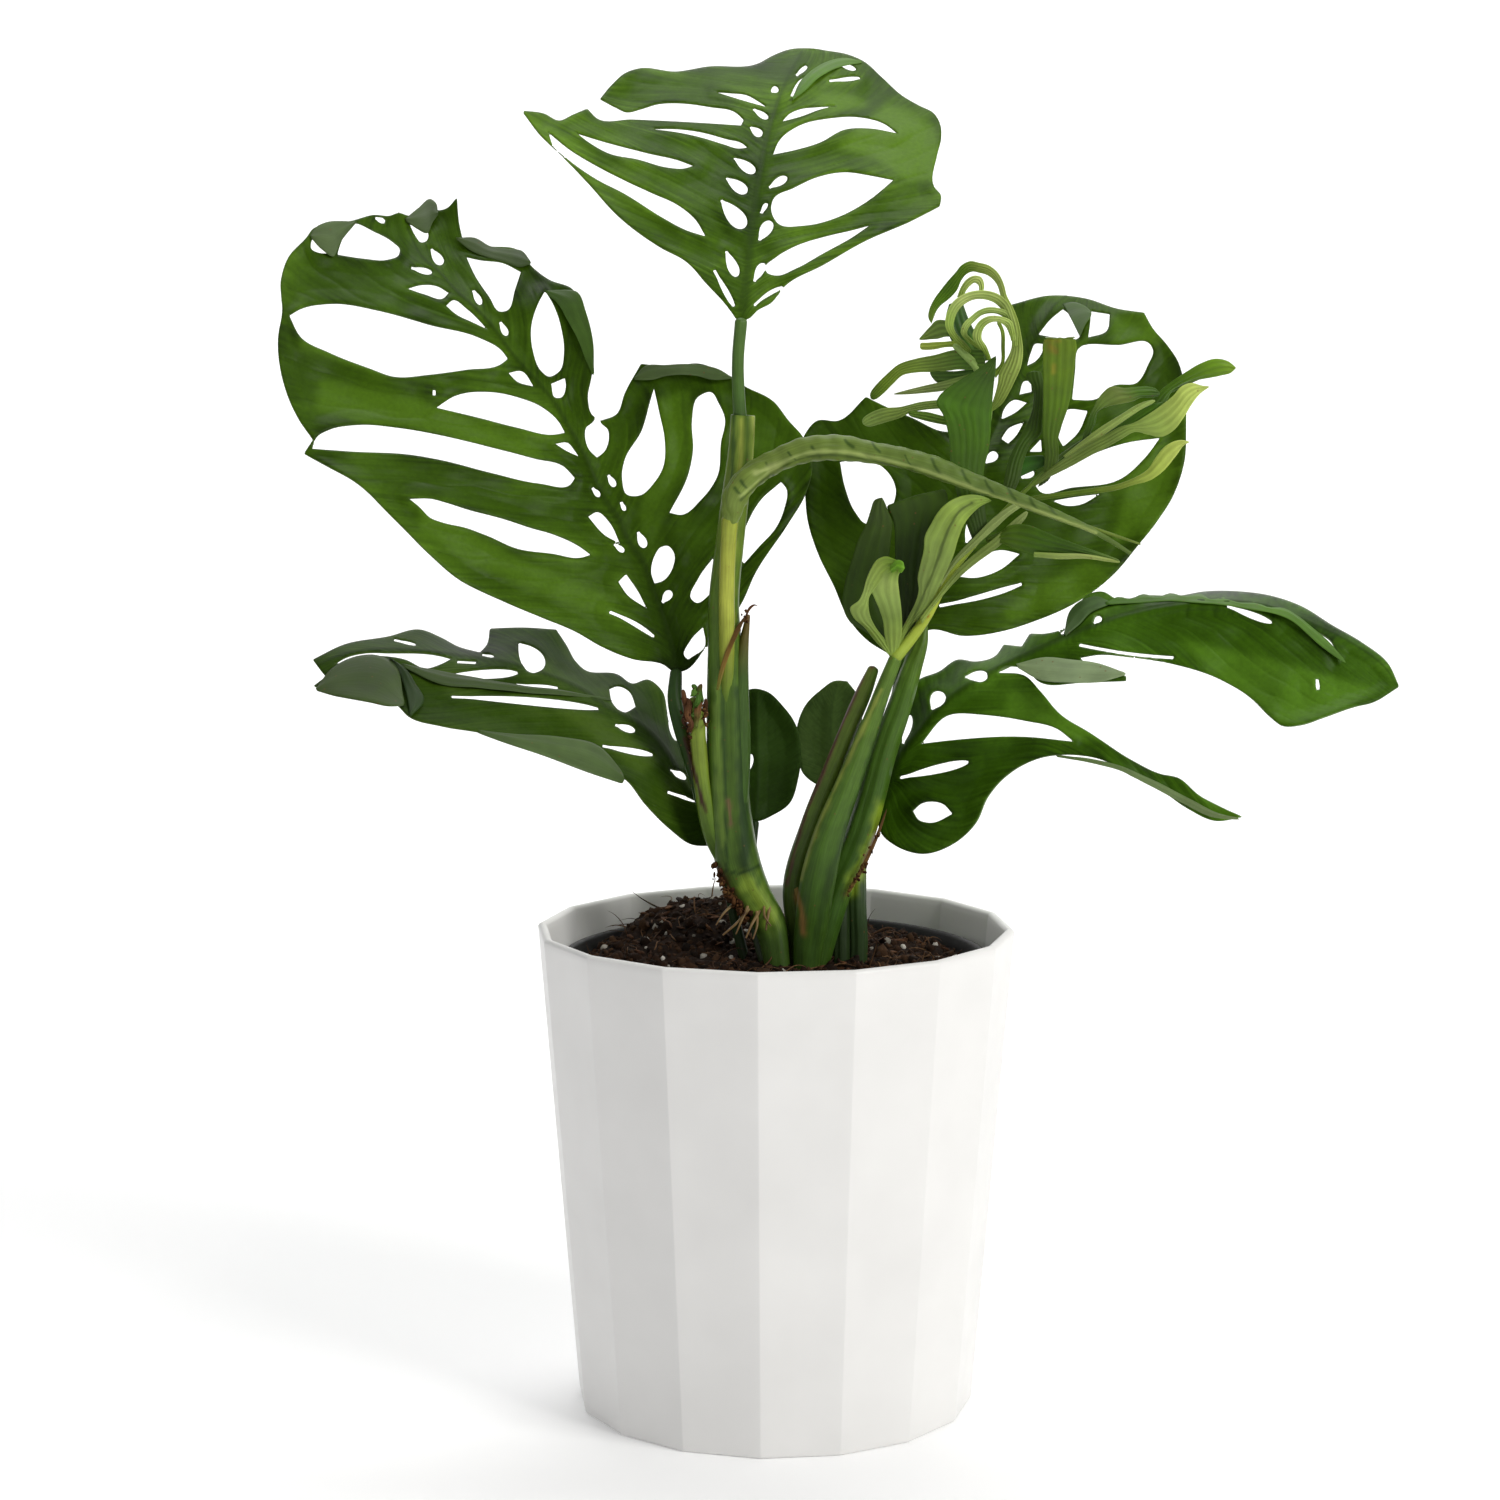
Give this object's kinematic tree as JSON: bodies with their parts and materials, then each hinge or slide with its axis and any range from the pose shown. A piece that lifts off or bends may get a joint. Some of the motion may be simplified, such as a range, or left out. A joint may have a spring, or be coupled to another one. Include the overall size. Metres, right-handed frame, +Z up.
{
  "type": "potted monstera epipremnoides",
  "caption": "Monstera epipremnoides with deeply perforated leaves on two shoots, growing in a round liner pot that stands inside a white faceted planter.",
  "frame": {"origin": "on the planter's axis, in the plane of its underside", "axes": "+Z up along the planter's axis; the side seen in the picture faces -Y, and its right is +X"},
  "size_m": [0.393, 0.203, 0.4863],
  "materials": {
    "planter": "white moulded plastic, satin",
    "nursery_pot": "thin black moulded plastic, dull",
    "soil": "damp potting mix with bark and perlite, matt",
    "shoot": "fresh green stems and leaf stalks with dry brown sheath edges, satin",
    "rolled_leaf": "unopened leaf, pale green, satin",
    "leaf": "grown leaf blade, dark green, softly glossy, paler below",
    "young_leaf": "young leaf, light green, satin",
    "curly_leaf": "newest leaf, still curled, very pale green, satin"
  },
  "bodies": {
    "root": {"planter": "planter", "nursery_pot": "nursery_pot", "soil": "soil", "left_shoot": "shoot", "right_shoot": "shoot", "rolled_leaf": "rolled_leaf", "top_leaf": "leaf", "left_leaf": "leaf", "low_left_leaf": "leaf", "back_leaf": "leaf", "low_right_leaf": "leaf", "small_left_leaf": "leaf", "small_right_leaf": "leaf", "young_leaf": "young_leaf", "curly_leaf": "curly_leaf"}
  },
  "joints": []
}
